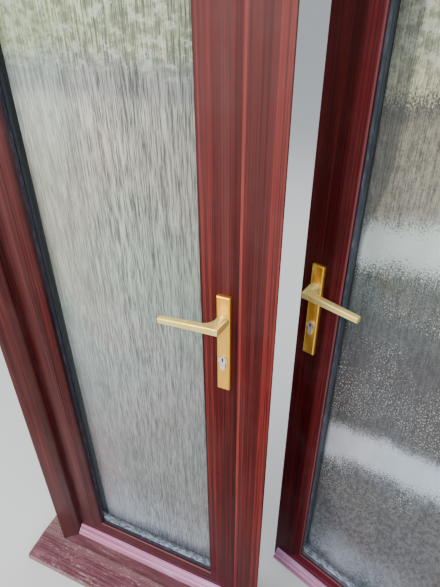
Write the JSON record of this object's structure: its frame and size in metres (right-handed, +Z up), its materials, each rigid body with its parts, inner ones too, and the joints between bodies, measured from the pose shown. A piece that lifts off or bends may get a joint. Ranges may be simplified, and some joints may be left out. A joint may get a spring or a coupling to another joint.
{
  "type": "french doors",
  "caption": "French doors with frame, centre post and sill, in rosewood-coloured plastic with glazed leaves and brass lever handles, right leaf ajar",
  "frame": {"origin": "on the sill's underside, midway between the jambs, in the plane of the frame's outer face", "axes": "X to the right as seen from outside, Y inward, Z up"},
  "size_m": [1.518, 0.3955, 2.125],
  "materials": {
    "foil": "rosewood wood-grain foil, satin gloss",
    "sill_foil": "weathered rosewood foil",
    "galvanised_steel": "galvanised",
    "glass": "clear, faintly streaked",
    "spacer": "mill",
    "black_rubber": "matt black",
    "hinge_paint": "brown powder coat",
    "handle_brass": "satin polished",
    "plated_steel": "zinc plated",
    "nickel": "satin nickel"
  },
  "bodies": {
    "frame": {"frame_head": "foil", "frame_jamb_left": "foil", "frame_jamb_right": "foil", "frame_bottom_rail": "foil", "centre_post": "foil", "sill": "sill_foil", "sill_end_caps": "sill_foil", "frame_steels": "galvanised_steel", "frame_seal_left": "black_rubber", "frame_seal_right": "black_rubber", "frame_hinges": "hinge_paint", "hinge_pins": "plated_steel", "keep_left": "plated_steel", "keep_right": "plated_steel"},
    "left_leaf": {"left_hinge_stile": "foil", "left_lock_stile": "foil", "left_top_rail": "foil", "left_bottom_rail": "foil", "left_glazing_beads": "foil", "left_weather_bar": "foil", "left_steels": "galvanised_steel", "left_panes": "glass", "left_spacer_bar": "spacer", "left_glazing_gaskets": "black_rubber", "left_leaf_seal": "black_rubber", "left_leaf_hinges": "hinge_paint", "left_outer_backplate": "handle_brass", "left_inner_backplate": "handle_brass", "left_lock_case": "plated_steel", "left_cylinder_body": "nickel"},
    "left_levers": {"left_outer_lever": "handle_brass", "left_inner_lever": "handle_brass", "left_spindle": "plated_steel", "left_follower": "plated_steel"},
    "left_latch": {"left_latch_bolt": "plated_steel"},
    "left_deadbolt": {"left_deadbolt": "plated_steel"},
    "left_cylinder": {"left_cylinder_plugs": "nickel"},
    "right_leaf": {"right_hinge_stile": "foil", "right_lock_stile": "foil", "right_top_rail": "foil", "right_bottom_rail": "foil", "right_glazing_beads": "foil", "right_weather_bar": "foil", "right_steels": "galvanised_steel", "right_panes": "glass", "right_spacer_bar": "spacer", "right_glazing_gaskets": "black_rubber", "right_leaf_seal": "black_rubber", "right_leaf_hinges": "hinge_paint", "right_outer_backplate": "handle_brass", "right_inner_backplate": "handle_brass", "right_lock_case": "plated_steel", "right_cylinder_body": "nickel"},
    "right_levers": {"right_outer_lever": "handle_brass", "right_inner_lever": "handle_brass", "right_spindle": "plated_steel", "right_follower": "plated_steel"},
    "right_latch": {"right_latch_bolt": "plated_steel"},
    "right_deadbolt": {"right_deadbolt": "plated_steel"},
    "right_cylinder": {"right_cylinder_plugs": "nickel"}
  },
  "joints": [
    {"name": "left_leaf_hinge", "type": "hinge", "parent": "frame", "child": "left_leaf", "pos_m": [-0.612, 0.099, 1.08], "axis": [0, 0, 1], "range_deg": [0, 90]},
    {"name": "left_lever_turn", "type": "hinge", "parent": "left_leaf", "child": "left_levers", "pos_m": [-0.064, 0.05, 1.16], "axis": [0, -1, 0], "range_deg": [0, 40], "stiffness_Nm_per_rad": 1.5, "springref_deg": -34.38},
    {"name": "left_latch_slide", "type": "slide", "parent": "left_leaf", "child": "left_latch", "axis": [-1, 0, 0], "range_m": [0, 0.008]},
    {"name": "left_cylinder_turn", "type": "hinge", "parent": "left_leaf", "child": "left_cylinder", "pos_m": [-0.064, 0.05, 1.068], "axis": [0, 1, 0], "range_deg": [0, 360]},
    {"name": "left_deadbolt_slide", "type": "slide", "parent": "left_leaf", "child": "left_deadbolt", "axis": [1, 0, 0], "range_m": [0, 0.02]},
    {"name": "right_leaf_hinge", "type": "hinge", "parent": "frame", "child": "right_leaf", "pos_m": [0.612, 0.099, 1.08], "axis": [0, 0, -1], "range_deg": [-18, 72]},
    {"name": "right_lever_turn", "type": "hinge", "parent": "right_leaf", "child": "right_levers", "pos_m": [0.07568, 0.22174, 1.16], "axis": [0.309, 0.9511, 0], "range_deg": [0, 40], "stiffness_Nm_per_rad": 1.5, "springref_deg": -34.38},
    {"name": "right_latch_slide", "type": "slide", "parent": "right_leaf", "child": "right_latch", "axis": [0.9511, -0.309, 0], "range_m": [0, 0.008]},
    {"name": "right_cylinder_turn", "type": "hinge", "parent": "right_leaf", "child": "right_cylinder", "pos_m": [0.07568, 0.22174, 1.068], "axis": [0.309, 0.9511, 0], "range_deg": [0, 360]},
    {"name": "right_deadbolt_slide", "type": "slide", "parent": "right_leaf", "child": "right_deadbolt", "axis": [-0.9511, 0.309, 0], "range_m": [0, 0.02]}
  ],
  "couplings": [
    {"joint": "left_latch_slide", "follows": "left_lever_turn", "m_per_rad": 0.01145},
    {"joint": "left_deadbolt_slide", "follows": "left_cylinder_turn", "m_per_rad": 0.003183},
    {"joint": "right_latch_slide", "follows": "right_lever_turn", "m_per_rad": 0.01145},
    {"joint": "right_deadbolt_slide", "follows": "right_cylinder_turn", "m_per_rad": 0.003183}
  ]
}
